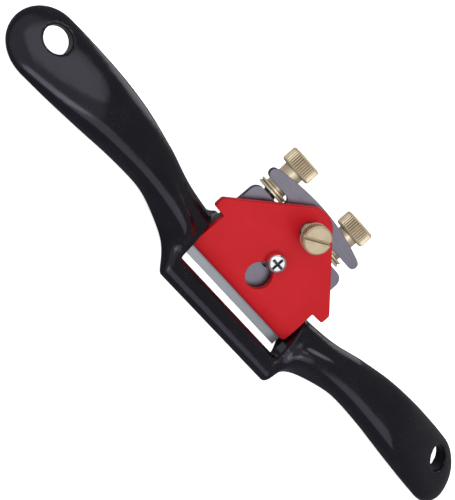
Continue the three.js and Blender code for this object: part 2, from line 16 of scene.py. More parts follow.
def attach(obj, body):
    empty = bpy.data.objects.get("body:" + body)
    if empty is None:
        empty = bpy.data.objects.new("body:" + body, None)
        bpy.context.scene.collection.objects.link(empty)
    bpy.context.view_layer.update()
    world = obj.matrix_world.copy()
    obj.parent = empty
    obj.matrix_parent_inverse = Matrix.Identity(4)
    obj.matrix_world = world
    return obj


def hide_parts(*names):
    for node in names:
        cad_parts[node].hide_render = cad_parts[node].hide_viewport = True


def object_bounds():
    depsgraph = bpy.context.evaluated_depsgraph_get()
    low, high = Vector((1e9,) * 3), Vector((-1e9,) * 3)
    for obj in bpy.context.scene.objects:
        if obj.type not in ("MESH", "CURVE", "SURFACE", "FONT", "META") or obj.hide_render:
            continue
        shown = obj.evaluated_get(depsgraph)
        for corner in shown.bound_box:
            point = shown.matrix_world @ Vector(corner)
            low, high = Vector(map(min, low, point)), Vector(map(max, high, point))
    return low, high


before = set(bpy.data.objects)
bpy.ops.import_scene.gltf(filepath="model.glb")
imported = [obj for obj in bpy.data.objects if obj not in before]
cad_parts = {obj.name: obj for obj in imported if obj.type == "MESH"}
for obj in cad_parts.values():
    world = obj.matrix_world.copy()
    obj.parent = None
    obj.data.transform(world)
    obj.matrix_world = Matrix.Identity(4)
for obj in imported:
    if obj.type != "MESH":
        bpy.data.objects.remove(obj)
CAD_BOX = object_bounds()

MM = 0.001
EDGE_RISE = 0.15
TOE_TO_EDGE = 8
BED = Matrix.Translation((0, 0, EDGE_RISE)) @ Matrix.Rotation(math.radians(45), 4, "X")
BED_FACE_H = -2.3
VOXEL = 0.4
MERGE_DISTANCE = 1e-5

# Places shared by several pieces: the two screws along the bed, and the studs across and under it.
SCREW_S = 17.9
THUMB_S = 31.5
STUD_X, STUD_H = 14, -5.9
SCREW_BORE = 2.3
STUD_BORE = 2.8


# ---------------------------------------------------------------- mesh helpers

def solid(name, verts, faces):
    mesh = bpy.data.meshes.new(name)
    mesh.from_pydata([tuple(v) for v in verts], [], faces)
    mesh.update()
    made = bpy.data.objects.new(name, mesh)
    bpy.context.scene.collection.objects.link(made)
    return made


def face_outwards(obj):
    bm = bmesh.new()
    bm.from_mesh(obj.data)
    bmesh.ops.remove_doubles(bm, verts=bm.verts, dist=MERGE_DISTANCE)
    bmesh.ops.recalc_face_normals(bm, faces=bm.faces)
    if bm.calc_volume(signed=True) < 0:
        bmesh.ops.reverse_faces(bm, faces=bm.faces)
    bm.to_mesh(obj.data)
    bm.free()
    return obj


def apply_modifiers(obj):
    shape = obj.evaluated_get(bpy.context.evaluated_depsgraph_get())
    mesh = bpy.data.meshes.new_from_object(shape)
    obj.modifiers.clear()
    old = obj.data
    obj.data = mesh
    bpy.data.meshes.remove(old)
    return obj


def boolean(obj, tool, operation):
    step = obj.modifiers.new("step", "BOOLEAN")
    step.operation = operation
    step.solver = "EXACT"
    step.object = tool
    apply_modifiers(obj)
    bpy.data.objects.remove(tool)
    return obj


def cut(obj, *tools):
    for tool in tools:
        boolean(obj, tool, "DIFFERENCE")
    return obj


def joined(name, parts):
    """One mesh holding every part, overlaps and all."""
    bm = bmesh.new()
    for part in parts:
        bm.from_mesh(part.data)
    for part in parts:
        bpy.data.objects.remove(part)
    made = solid(name, [], [])
    bm.to_mesh(made.data)
    bm.free()
    return made


SMOOTHING = 0.5


def cast_skin(obj, voxel, passes):
    """Melts overlapping solids into one skin and eases its edges, as a casting's are."""
    melt = obj.modifiers.new("melt", "REMESH")
    melt.mode = "VOXEL"
    melt.voxel_size = voxel
    ease = obj.modifiers.new("ease", "SMOOTH")
    ease.factor = SMOOTHING
    ease.iterations = passes
    return apply_modifiers(obj)


def shade(obj, angle):
    """Smooth shading with creases kept where faces meet more sharply than the angle."""
    bm = bmesh.new()
    bm.from_mesh(obj.data)
    limit = math.radians(angle)
    for face in bm.faces:
        face.smooth = True
    for edge in bm.edges:
        edge.smooth = len(edge.link_faces) == 2 and edge.calc_face_angle() < limit
    bm.to_mesh(obj.data)
    bm.free()
    weighted = obj.modifiers.new("weighted", "WEIGHTED_NORMAL")
    weighted.keep_sharp = True
    return obj


def moved(obj, matrix):
    obj.data.transform(matrix)
    return obj


def place(obj, name, body, slot, material, *nodes):
    """Finishes a piece: origin and metres, name, body, material and the CAD nodes it stands for."""
    obj.name = name
    obj.data.transform(Matrix.Scale(MM, 4) @ Matrix.Translation((0, TOE_TO_EDGE, 0)))
    if not obj.data.materials:
        obj.data.materials.append(material)
    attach(obj, body)
    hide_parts(*nodes)
    return obj


# ---------------------------------------------------------------- shapes

def extruded(name, verts):
    """A solid between two matching outlines, given as one list of corners after the other."""
    count = len(verts) // 2
    faces = [list(range(count)), list(range(count, 2 * count))]
    faces += [(i, (i + 1) % count, count + (i + 1) % count, count + i) for i in range(count)]
    return face_outwards(solid(name, verts, faces))


def prism(name, outline, low, high):
    """A solid with a constant outline of (a, b) pairs, extruded along the first axis: x, then a, b."""
    return extruded(name, [(x, a, b) for x in (low, high) for a, b in outline])


def slab(name, outline, low, high):
    """A solid with a constant outline of (x, s) pairs between two heights."""
    return extruded(name, [(x, s, h) for h in (low, high) for x, s in outline])


def rectangle(a_low, a_high, b_low, b_high):
    return [(a_low, b_low), (a_high, b_low), (a_high, b_high), (a_low, b_high)]


def arc(cx, cy, radius, start, end, count):
    angles = [math.radians(start + (end - start) * i / count) for i in range(count + 1)]
    return [(cx + radius * math.cos(a), cy + radius * math.sin(a)) for a in angles]


def bend(start, control, end, count):
    """Points along a quadratic curve, without its first point."""
    points = []
    for i in range(1, count + 1):
        t = i / count
        weights = ((1 - t) ** 2, 2 * t * (1 - t), t * t)
        corners = list(zip(weights, (start, control, end)))
        points.append(tuple(sum(w * p[k] for w, p in corners) for k in (0, 1)))
    return points


def circle(x, s, radius, count):
    return arc(x, s, radius, 0, 360 - 360 / count, count - 1)


def mirrored(right):
    """An outline from its right-hand half, whose last point is on the middle line."""
    return right + [(-x, s) for x, s in right[-2::-1]]


def ring_faces(rings, count, first=0, closed=False):
    """Quads joining neighbouring rings of vertices, and the last ring to the first if closed."""
    faces = []
    for ring in range(rings if closed else rings - 1):
        low = first + ring * count
        high = first + (ring + 1) % rings * count
        for i in range(count):
            j = (i + 1) % count
            faces.append((low + i, low + j, high + j, high + i))
    return faces


SHARPEST_MITRE = 0.35


def inset(loop, distance):
    """The loop moved towards its left-hand side by a distance, with mitred corners."""
    count = len(loop)
    out = []
    for i in range(count):
        before, here, after = (np.array(loop[(i + k) % count]) for k in (-1, 0, 1))
        a = (here - before) / np.linalg.norm(here - before)
        b = (after - here) / np.linalg.norm(after - here)
        normal = np.array((-a[1] - b[1], a[0] + b[0]))
        normal /= np.linalg.norm(normal)
        mitre = max(SHARPEST_MITRE, normal @ np.array((-a[1], a[0])))
        out.append(tuple(here + normal * distance / mitre))
    return out


def signed_area(loop):
    return sum(a[0] * b[1] - b[0] * a[1] for a, b in zip(loop, loop[1:] + loop[:1])) / 2


def rounded_plate(name, outline, holes, low, high, easing, steps):
    """A plate in x and s with eased edges all round, its holes included."""
    loops = [outline if signed_area(outline) > 0 else outline[::-1]]
    loops += [hole if signed_area(hole) < 0 else hole[::-1] for hole in holes]
    turns = [math.pi / 2 * k / steps for k in range(steps + 1)]
    profile = [(easing * (1 - math.sin(t)), low + easing * (1 - math.cos(t))) for t in turns]
    profile += [(easing * (1 - math.cos(t)), high - easing * (1 - math.sin(t))) for t in turns]
    verts, faces, rims = [], [], ([], [])
    for loop in loops:
        first, count = len(verts), len(loop)
        for distance, h in profile:
            verts += [(x, s, h) for x, s in (inset(loop, distance) if distance > 0 else loop)]
        faces += ring_faces(len(profile), count, first)
        rims[0].append(list(range(first, first + count)))
        top = first + (len(profile) - 1) * count
        rims[1].append(list(range(top, top + count)))
    for rim in rims:
        flat = [index for ring in rim for index in ring]
        polygons = [[Vector((verts[i][0], verts[i][1], 0)) for i in ring] for ring in rim]
        faces += [tuple(flat[i] for i in triangle) for triangle in tessellate_polygon(polygons)]
    return face_outwards(solid(name, verts, faces))


def sliced(obj, axis, places):
    """Adds edge loops across the mesh at the given places along an axis, so that it can be curved."""
    bm = bmesh.new()
    bm.from_mesh(obj.data)
    normal = Vector([1.0 if k == axis else 0.0 for k in range(3)])
    for at in places:
        geometry = bm.verts[:] + bm.edges[:] + bm.faces[:]
        bmesh.ops.bisect_plane(bm, geom=geometry, dist=MERGE_DISTANCE, plane_co=normal * at,
                               plane_no=normal)
    bm.to_mesh(obj.data)
    bm.free()
    return obj


KNURL_STEEPNESS = 1.6


def turned_rings(stations, segments, ridges, depth):
    """Rings of vertices about the s axis from (radius, s, knurl share) stations."""
    verts = []
    for radius, along, share in stations:
        for i in range(segments):
            angle = 2 * math.pi * i / segments
            wave = abs(2 * ((i * ridges / segments) % 1) - 1) if ridges else 1
            r = radius - depth * share * min(1, (1 - wave) * KNURL_STEEPNESS)
            verts.append((r * math.cos(angle), along, r * math.sin(angle)))
    return verts


def turned(name, profile, segments=96, ridges=0, depth=0.0):
    """A turned solid about the s axis from (radius, s, knurl share) stations, its ends on the axis."""
    rings = profile[1:-1]
    verts = turned_rings(rings, segments, ridges, depth)
    faces = ring_faces(len(rings), segments)
    low, high = len(verts), len(verts) + 1
    verts += [(0, profile[0][1], 0), (0, profile[-1][1], 0)]
    last = (len(rings) - 1) * segments
    for i in range(segments):
        j = (i + 1) % segments
        faces += [(low, i, j), (high, last + i, last + j)]
    return face_outwards(solid(name, verts, faces))


def plain(stations):
    return [(r, s, 0) for r, s in stations]


THREAD_DEPTH = 0.42
THREAD_CHAMFER = 0.6
THREAD_SEGMENTS = 36
THREAD_RINGS_PER_TURN = 8


def thread(name, radius, start, end, pitch):
    """A rod along s with a thread cut in it and chamfered ends."""
    segments = THREAD_SEGMENTS
    count = int((end - start) / pitch * THREAD_RINGS_PER_TURN)
    verts = []
    for s in [start + (end - start) * k / count for k in range(count + 1)]:
        limit = radius - max(0, THREAD_CHAMFER - min(s - start, end - s))
        for i in range(segments):
            turn = (s / pitch - i / segments) % 1
            r = min(limit, radius - THREAD_DEPTH * abs(2 * turn - 1))
            angle = 2 * math.pi * i / segments
            verts.append((r * math.cos(angle), s, r * math.sin(angle)))
    faces = ring_faces(count + 1, segments)
    faces += [list(range(segments)), list(range(count * segments, (count + 1) * segments))]
    return face_outwards(solid(name, verts, faces))


# ---------------------------------------------------------------- body casting

# The cheek's outline in y and z, anticlockwise from the front of the sole.
CHEEK = [
    (-12.6, 0), (14.6, 0), (15.2, 0.6), (15.2, 2.8), (13.2, 5), (11.4, 7), (10, 8.5), (8.9, 9.4),
    (7.2, 10), (4, 9.9), (0.5, 9.1), (-2.6, 7.8), (-5.2, 6.2), (-7.4, 5.1), (-9.8, 4.5),
    (-12.2, 3.4), (-13.3, 2.2), (-13.5, 1.2),
]
CHEEK_CENTRE = (2, 5)
CHEEK_INNER_X, CHEEK_OUTER_X = 22.9, 24.9
TIP_X = CAD_BOX[1][0] / MM
END_RADIUS = 11.7
END_SMALLEST = 0.05
END_THINNING = 5
BLEND_END_X = 48
HANDLE_ROLL = math.radians(10)
SQUARENESS = 2.5
ANGLE_STEP = 3.0
SECTION_STEP = 0.8
END_SECTIONS = 18

# How fast the cheek's outline gives way to the handle's: everywhere, and the extra towards one angle.
FADE = 1.8
FADE_NARROWNESS = 6
FADE_Y = (9, math.pi)
FADE_Z = (8, math.radians(150))
# Between these sines of the section's angle the underside's slower rise gives way to the top's.
UNDERSIDE_SINE, UPPER_SINE = -0.5, 0.3
# The lowest part of the skin is sunk below the sole, so that the sole's cut leaves a flat face.
SINK, SINK_BELOW_Z = 0.5, 0.6

# Place along the handle, centre in y and z, half width and half thickness.
CENTRE_Y, CENTRE_Z, HALF_WIDTH, HALF_THICKNESS = 1, 2, 3, 4
STATIONS = np.array([
    (12, 0.7, 6.9, 8.9, 5), (24, 2.4, 7.4, 8, 5), (36, 4.1, 7.9, 7.1, 5), (48, 5.5, 9.1, 7.8, 5),
    (60, 5.9, 10.2, 9.3, 5.2), (72, 5.5, 10.7, 10.5, 5.4), (84, 5.7, 10, 11.5, 4.1),
    (95, 6.5, 8.5, 11.9, 3), (TIP_X, 7.2, 6.5, 11.9, 2.6), (TIP_X + 10, 7.8, 4.6, 11.9, 2.4),
])


def smoothstep(t):
    t = np.clip(t, 0, 1)
    return t * t * (3 - 2 * t)


def blend(a, b, share):
    return a * (1 - share) + b * share


def handle_value(x, column):
    """One column of the stations at x, along a smooth curve through the table."""
    places = STATIONS[:, 0]
    i = int(np.clip(np.searchsorted(places, x) - 1, 1, len(places) - 3))
    t = (x - places[i]) / (places[i + 1] - places[i])
    a, b, c, d = STATIONS[i - 1:i + 3, column]
    return b + 0.5 * t * (c - a + t * (2 * a - 5 * b + 4 * c - d + t * (3 * (b - c) + d - a)))


def cheek_radii(angles):
    """Distance from the cheek's centre to its outline at each angle."""
    parallel, rounding = 1e-12, 1e-9
    centre = np.array(CHEEK_CENTRE, float)
    corners = np.array(CHEEK, float) - centre
    radii = []
    for angle in angles:
        ray = np.array((math.cos(angle), math.sin(angle)))
        for a, b in zip(corners, np.roll(corners, -1, axis=0)):
            side = b - a
            turn = ray[0] * side[1] - ray[1] * side[0]
            if abs(turn) < parallel:
                continue
            along = (a[0] * ray[1] - a[1] * ray[0]) / turn
            reach = (a[0] * side[1] - a[1] * side[0]) / turn
            if reach > 0 and -rounding <= along <= 1 + rounding:
                radii.append(reach)
                break
    return np.array(radii)


def fade(angles, extra, towards):
    return FADE + extra * np.maximum(0, np.cos(angles - towards)) ** FADE_NARROWNESS


def handle_loft(side):
    """One cheek and handle as a closed skin of cross-sections, faded from the cheek into an oval."""
    angles = np.radians(np.arange(0, 360, ANGLE_STEP))
    cheek = cheek_radii(angles)
    quick_y = fade(angles, *FADE_Y)
    quick_z = fade(angles, *FADE_Z)
    above = smoothstep((np.sin(angles) - UNDERSIDE_SINE) / (UPPER_SINE - UNDERSIDE_SINE))
    end_x = TIP_X - END_RADIUS
    body = np.arange(CHEEK_INNER_X, end_x, SECTION_STEP)
    end = end_x + END_RADIUS * np.sin(np.linspace(0, math.pi / 2, END_SECTIONS))
    rings = []
    for x in np.concatenate((body, end)):
        past = max(0, (x - end_x) / END_RADIUS)
        narrowing = max(END_SMALLEST, math.sqrt(max(0, 1 - past ** 2)))
        thinning = max(END_SMALLEST, math.sqrt(max(0, 1 - past ** END_THINNING)))
        width = handle_value(x, HALF_WIDTH) * narrowing
        thick = handle_value(x, HALF_THICKNESS) * thinning
        left = 1 - np.clip((x - CHEEK_OUTER_X) / (BLEND_END_X - CHEEK_OUTER_X), 0, 1)
        share_y = 1 - left ** quick_y
        share_z = smoothstep(1 - left) * (1 - above) + (1 - left ** quick_z) * above
        leaning = angles - HANDLE_ROLL
        oval = (np.abs(np.cos(leaning) / width) ** SQUARENESS
                + np.abs(np.sin(leaning) / thick) ** SQUARENESS) ** (-1 / SQUARENESS)
        y = blend(CHEEK_CENTRE[0], handle_value(x, CENTRE_Y), share_y)
        y = y + blend(cheek, oval, share_y) * np.cos(angles)
        z = blend(CHEEK_CENTRE[1], handle_value(x, CENTRE_Z), share_z)
        z = z + blend(cheek, oval, share_z) * np.sin(angles)
        z = z - SINK * np.clip(1 - z / SINK_BELOW_Z, 0, 1) ** 2
        rings.append(np.column_stack((np.full_like(y, side * x), y, z)))
    count = len(angles)
    verts = np.concatenate(rings)
    faces = [list(range(count)), list(range((len(rings) - 1) * count, len(rings) * count))]
    faces += ring_faces(len(rings), count)
    return face_outwards(solid("loft", verts, faces))


# How far pieces of the casting run into each other, or past a face that is cut later.
OVERLAP = 0.6
BELOW_SOLE = -0.5
SOLE_FRONT_Y, MOUTH_FRONT_Y, MOUTH_REAR_Y = -12.6, -2.9, 1.75
TOE_TOP = [
    (-5.1, 2.8),
    *bend((-5.1, 2.8), (-6, 4.3), (-7.8, 4.4), 6),
    *bend((-7.8, 4.4), (-11.8, 4.4), (-13.3, 2.2), 10),
]
TOE_NOSE = [(-13.5, 1.2), (-13.2, 0.3)]
HEEL_REAR = [(14.6, BELOW_SOLE), (15.2, 0.6), (15.2, 2.8)]
BED_START_S = 1.7
# The heel's steps under the bed: top along the bed, depth below its face, half width.
HEEL_STEPS = [(20.5, 5, 19), (14.8, 1.6, 22.6), (12.7, 1.6, CHEEK_INNER_X + 0.8)]
# Bosses and bores: radius, start and end along their axis.
SCREW_BOSS = (4.6, -11, -2)
STUD_BOSS = (4.4, 14, 22)
SCREW_HOLE = (SCREW_BORE, -14, 6)
STUD_HOLE = (STUD_BORE, 11.7, 40)
HANGING_HOLE = (4.3, -10, 10)
HANGING_HOLE_CENTRE = (92.7, 10.5, 8.6)
HANGING_HOLE_AXIS = (0.12, -0.5, 0.86)
MACHINED_S, MACHINED_H = 31, 14
BELOW_REACH_X, BELOW_REACH_Y, BELOW_DEPTH = 130, 30, 9
BLEND_PASSES, EASE_PASSES = 2, 7


def toe_bar():
    outline = [(SOLE_FRONT_Y, BELOW_SOLE), (MOUTH_FRONT_Y, BELOW_SOLE), (MOUTH_FRONT_Y, 0),
               *TOE_TOP, *TOE_NOSE]
    reach = CHEEK_OUTER_X - OVERLAP
    return prism("toe", outline, -reach, reach)


def on_body(s, h):
    """y and z of a point given along the bed and square to it."""
    return ((s - h) * math.sqrt(0.5), (s + h) * math.sqrt(0.5) + EDGE_RISE)


def heel_and_bed(top_s, depth, half_width):
    proud = BED_FACE_H + OVERLAP
    outline = [on_body(BED_START_S, proud), (MOUTH_REAR_Y, BELOW_SOLE), *HEEL_REAR,
               on_body(top_s, BED_FACE_H - depth), on_body(top_s, proud)]
    return prism("heel", outline, -half_width, half_width)


def rod(radius, start, end, matrix, segments=64):
    made = turned("rod", plain([(0, start), (radius, start), (radius, end), (0, end)]), segments)
    return moved(made, matrix)


ALONG_H = Matrix.Rotation(math.radians(90), 4, "X")


def bed_place(x, s, h):
    return BED @ Matrix.Translation((x, s, h))


def hanging_hole(side):
    lean_x, lean_y, lean_z = HANGING_HOLE_AXIS
    axis = Vector((lean_x * side, lean_y, lean_z)).normalized()
    turn = Vector((0, 1, 0)).rotation_difference(axis).to_matrix().to_4x4()
    x, y, z = HANGING_HOLE_CENTRE
    return rod(*HANGING_HOLE, Matrix.Translation((x * side, y, z)) @ turn, 96)


def body_casting():
    at_screw = bed_place(0, SCREW_S, 0) @ ALONG_H
    at_studs = [bed_place(x, 0, STUD_H) for x in (-STUD_X, STUD_X)]
    parts = [handle_loft(1), handle_loft(-1), toe_bar()]
    parts += [heel_and_bed(*step) for step in HEEL_STEPS]
    parts.append(rod(*SCREW_BOSS, at_screw))
    parts += [rod(*STUD_BOSS, at) for at in at_studs]
    body = cast_skin(joined("body", parts), VOXEL, BLEND_PASSES)
    cut(body, hanging_hole(1), hanging_hole(-1))
    body = cast_skin(body, VOXEL, EASE_PASSES)
    bed = rectangle(-CHEEK_INNER_X, CHEEK_INNER_X, 0, MACHINED_S)
    machining = moved(slab("bed", bed, BED_FACE_H, MACHINED_H), BED)
    boolean(machining, rod(*SCREW_HOLE, at_screw), "UNION")
    for at in at_studs:
        boolean(machining, rod(*STUD_HOLE, at), "UNION")
    sole_cut = rectangle(-BELOW_REACH_Y, BELOW_REACH_Y, -BELOW_DEPTH, 0)
    return cut(body, machining, prism("below", sole_cut, -BELOW_REACH_X, BELOW_REACH_X))


def colour_casting(body, enamel, ground, milled):
    """Enamel all over but for the ground sole and the milled bed."""
    for material in (enamel, ground, milled):
        body.data.materials.append(material)
    up = BED.to_3x3() @ Vector((0, 0, 1))
    to_bed = BED.inverted()
    on_face, sole_level, bed_level = 0.01, 0.999, 0.99
    for face in body.data.polygons:
        above_bed = (to_bed @ face.center).z - BED_FACE_H
        if face.normal.z < -sole_level and abs(face.center.z) < on_face:
            face.material_index = 1
        elif face.normal.dot(up) > bed_level and abs(above_bed) < on_face:
            face.material_index = 2


# ---------------------------------------------------------------- blade

BLADE_CORNER = (22, 0.02)
BLADE_THICKNESS = 2
BLADE_EASING = 0.1
BLADE_SLOT = (14.4, 26)
BLADE_REAR_S = 39.4
BEVEL_SLOPE = math.tan(math.radians(25))
BEVEL_EDGE = 0.02
BEVEL_FRONT, BEVEL_REAR, BEVEL_DEEP, BEVEL_REACH = -1, 6, -4, 30


def blade_outline():
    half, corner, notch = 21.5, 3, 1.8
    start, inner = 29.8, 10.2
    tip = 1.7
    crown = 80
    lean = math.degrees(math.acos((half - tip) / (crown - tip)))
    return mirrored([
        BLADE_CORNER,
        *arc(half - corner, start - corner, corner, 0, 90, 14),
        *arc(inner + notch, start + notch, notch, 270, 90, 20),
        *arc(half - tip, start + 2 * notch + tip, tip, -90, lean, 16),
        *arc(0, BLADE_REAR_S - crown, crown, lean, 90, 24)[1:],
    ])


def round_slot(radius, start, end):
    return [*arc(0, start + radius, radius, 180, 360, 20), *arc(0, end - radius, radius, 0, 180, 20)]


def bevel_h(s):
    return -BEVEL_SLOPE * s - BEVEL_EDGE


def blade():
    slot = round_slot(SCREW_BORE, *BLADE_SLOT)
    plate = rounded_plate("plate", blade_outline(), [slot], -BLADE_THICKNESS, 0, BLADE_EASING, 2)
    bevel = [(BEVEL_FRONT, bevel_h(BEVEL_FRONT)), (BEVEL_FRONT, BEVEL_DEEP), (BEVEL_REAR, BEVEL_DEEP),
             (BEVEL_REAR, bevel_h(BEVEL_REAR))]
    return cut(plate, prism("bevel", bevel, -BEVEL_REACH, BEVEL_REACH))


# ---------------------------------------------------------------- lever cap

LIP_S, CURL_S, CURL_STEP, CURL_SLICES = 3.1, 8.5, 0.3, 18
LIP_TOP, CURL_RISE, CURL_FULLNESS = 1.9, 1.5, 2.2
LIP_UNDER, UNDER_RISE, UNDER_RISE_S = 0.3, 0.7, 5.2
CAP_EASING = 0.36
KEYHOLE_S, KEYHOLE_RADIUS = 11.4, 4.3


def cap_outline():
    shoulder_s = 15.7
    return mirrored([
        (21, LIP_S), *bend((21, LIP_S), (22.4, LIP_S), (22.4, LIP_S + 1.4), 8),
        (22, 15.1), *bend((22, 15.1), (22, 15.55), (22.5, 15.55), 5),
        (25.4, shoulder_s), *bend((25.4, shoulder_s), (26.4, shoulder_s), (26.4, 16.7), 6),
        (26.4, 18.5), *bend((26.4, 18.5), (26.4, 19), (26, 19.35), 4),
        (4.6, 37.5), *bend((4.6, 37.5), (2.8, 39), (0, 39), 8),
    ])


def cap_heights(s):
    """Underside and top of the cap at s: a raised plate whose front curls down to the lip."""
    t = min(1, max(0, (s - LIP_S) / (CURL_S - LIP_S)))
    top = LIP_TOP + CURL_RISE * math.sqrt(max(0, 1 - (1 - t) ** CURL_FULLNESS))
    under = LIP_UNDER + UNDER_RISE * min(1, max(0, (s - UNDER_RISE_S) / (CURL_S - UNDER_RISE_S)))
    return under, top


def lever_cap():
    halfway = math.degrees(math.asin(SCREW_BORE / KEYHOLE_RADIUS))
    keyhole = [*arc(0, KEYHOLE_S, KEYHOLE_RADIUS, 90 + halfway, 450 - halfway, 48),
               *arc(0, SCREW_S, SCREW_BORE, 0, 180, 24)]
    holes = [keyhole, circle(0, THUMB_S, STUD_BORE, 45)]
    plate = rounded_plate("cap", cap_outline(), holes, -1, 1, CAP_EASING, 4)
    sliced(plate, 1, [LIP_S + CURL_STEP * k for k in range(1, CURL_SLICES + 1)])
    for vert in plate.data.vertices:
        under, top = cap_heights(vert.co.y)
        vert.co.z = under + (top - under) * (vert.co.z + 1) / 2
    return plate


# ---------------------------------------------------------------- screws, nuts and studs

RIDGES = 40
KNURLED_SEGMENTS = RIDGES * 8
NUT_KNURL, THUMB_KNURL = 0.42, 0.34
HEAD_CHAMFER = 0.5
STUD_RADIUS, STUD_START, STUD_END = 2.5, 12, 43.6
STUD_PITCH = 0.8
# How far a screw's shaft runs up into its head.
SHAFT_OVERLAP = 0.2

THUMB_RADIUS, THUMB_BOTTOM, THUMB_TOP, THUMB_FOOT = 4.5, 8.4, 12.6, 0.3
THUMB_SLOT_DEPTH, THUMB_SLOT_HALF, THUMB_SLOT_TURN = 1.4, 0.55, 31

SCREW_BOTTOM = 3.7
SCREW_TOP = SCREW_BOTTOM + 2.5
SCREW_SHAFT_RADIUS, SCREW_FOOT, SCREW_PITCH = 2, -9.5, 0.7
# The rim of the screw's head, below its dome.
SCREW_RIM = [
    (0, SCREW_BOTTOM), (2.95, SCREW_BOTTOM), (3.1, SCREW_BOTTOM + 0.15), (3.1, SCREW_BOTTOM + 1.3),
    (3.05, SCREW_BOTTOM + 1.5),
]
# One arm of the cross recess, seen along its thickness, from the top of the head down.
RECESS_ARM = [(-2.2, 0.5), (2.2, 0.5), (2.1, 0), (0.9, -1.7), (-0.9, -1.7), (-2.1, 0)]
RECESS_HALF = 0.45
# Faces of the head within these bounds are inside the recess.
RECESS_RADIUS, RECESS_FLOOR_S, RECESS_RIM_S = 2.3, SCREW_BOTTOM + 0.5, SCREW_TOP - 0.05

NUT_RADIUS, NUT_HEAD_S, NUT_TOP_S = 5.5, 40.3, 45.4
# The nut's double-rimmed flange and its neck.
NUT_FLANGE = [
    (STUD_BORE, 30.6), (4.9, 30.6), (5.1, 30.8), (5.1, 31.2), (4.65, 31.4), (4.65, 31.6), (5.1, 31.8),
    (5.1, 32.2), (4.9, 32.4), (3.6, 32.4), (3.6, 32.6), (3.6, 32.9), (3.6, 39.8), (3.6, 40.1),
    (3.6, NUT_HEAD_S),
]
NUT_BORE = [(STUD_BORE, NUT_TOP_S), (STUD_BORE, 40), (STUD_BORE, 35)]


def knurled_head(radius, start, end):
    """Turned stations of a knurled head, its chamfers left smooth."""
    chamfer, shy, fade_in = HEAD_CHAMFER, 0.08, 0.25
    shoulder = chamfer * 0.85
    return [(radius - chamfer, start, 0), (radius - shy, start + shoulder, 0),
            (radius, start + chamfer, 0), (radius, start + chamfer + fade_in, 1),
            (radius, end - chamfer - fade_in, 1), (radius, end - chamfer, 0),
            (radius - shy, end - shoulder, 0), (radius - chamfer, end, 0)]


def thumb_screw():
    knurled = knurled_head(THUMB_RADIUS, THUMB_BOTTOM, THUMB_TOP)
    profile = [(0, THUMB_BOTTOM, 0), *knurled, (0, THUMB_TOP, 0)]
    head = turned("head", profile, KNURLED_SEGMENTS, RIDGES, THUMB_KNURL)
    across, above = 12, 3
    floor_s = THUMB_TOP - THUMB_SLOT_DEPTH
    slot = rectangle(floor_s, THUMB_TOP + above, -THUMB_SLOT_HALF, THUMB_SLOT_HALF)
    turn = Matrix.Rotation(math.radians(THUMB_SLOT_TURN), 4, "Y")
    cut(head, moved(prism("slot", slot, -across, across), turn))
    shaft = thread("shaft", STUD_RADIUS, THUMB_FOOT, THUMB_BOTTOM + SHAFT_OVERLAP, STUD_PITCH)
    boolean(head, shaft, "UNION")
    return moved(head, bed_place(0, THUMB_S, 0) @ ALONG_H)


def centre_screw(plating, recess_shade):
    """A domed head with a cross recess, painted dark inside as painted shade."""
    dome = bend(SCREW_RIM[-1], (3, SCREW_TOP), (1.9, SCREW_TOP), 10)
    head = turned("head", plain([*SCREW_RIM, *dome, (0, SCREW_TOP)]))
    upright = Matrix(((0, 1, 0, 0), (0, 0, 1, 0), (1, 0, 0, 0), (0, 0, 0, 1)))
    for turn in (0, 90):
        stand = Matrix.Translation((0, SCREW_TOP, 0)) @ Matrix.Rotation(math.radians(turn), 4, "Y")
        cut(head, moved(prism("arm", RECESS_ARM, -RECESS_HALF, RECESS_HALF), stand @ upright))
    shaft_top = SCREW_BOTTOM + SHAFT_OVERLAP
    shaft = thread("shaft", SCREW_SHAFT_RADIUS, SCREW_FOOT, shaft_top, SCREW_PITCH)
    boolean(head, shaft, "UNION")
    head.data.materials.append(plating)
    head.data.materials.append(recess_shade)
    # Faces inside the recess take the dark material, as painted shade.
    for face in head.data.polygons:
        x, s, z = face.center
        inside = RECESS_FLOOR_S < s < RECESS_RIM_S and math.hypot(x, z) < RECESS_RADIUS
        face.material_index = 1 if inside else 0
    return moved(head, bed_place(0, SCREW_S, 0) @ ALONG_H)


def adjusting_nut(x):
    """A knurled head, a neck and a flange round an open bore."""
    stations = plain(NUT_FLANGE) + knurled_head(NUT_RADIUS, NUT_HEAD_S, NUT_TOP_S) + plain(NUT_BORE)
    verts = turned_rings(stations, KNURLED_SEGMENTS, RIDGES, NUT_KNURL)
    faces = ring_faces(len(stations), KNURLED_SEGMENTS, closed=True)
    return moved(face_outwards(solid("nut", verts, faces)), bed_place(x, 0, STUD_H))


def stud(x):
    threaded = thread("stud", STUD_RADIUS, STUD_START, STUD_END, STUD_PITCH)
    return moved(threaded, bed_place(x, 0, STUD_H))


# ---------------------------------------------------------------- materials

def set_range(node, low, high, out_low, out_high):
    keys = ("From Min", "From Max", "To Min", "To Max")
    for key, number in zip(keys, (low, high, out_low, out_high)):
        node.inputs[key].default_value = number


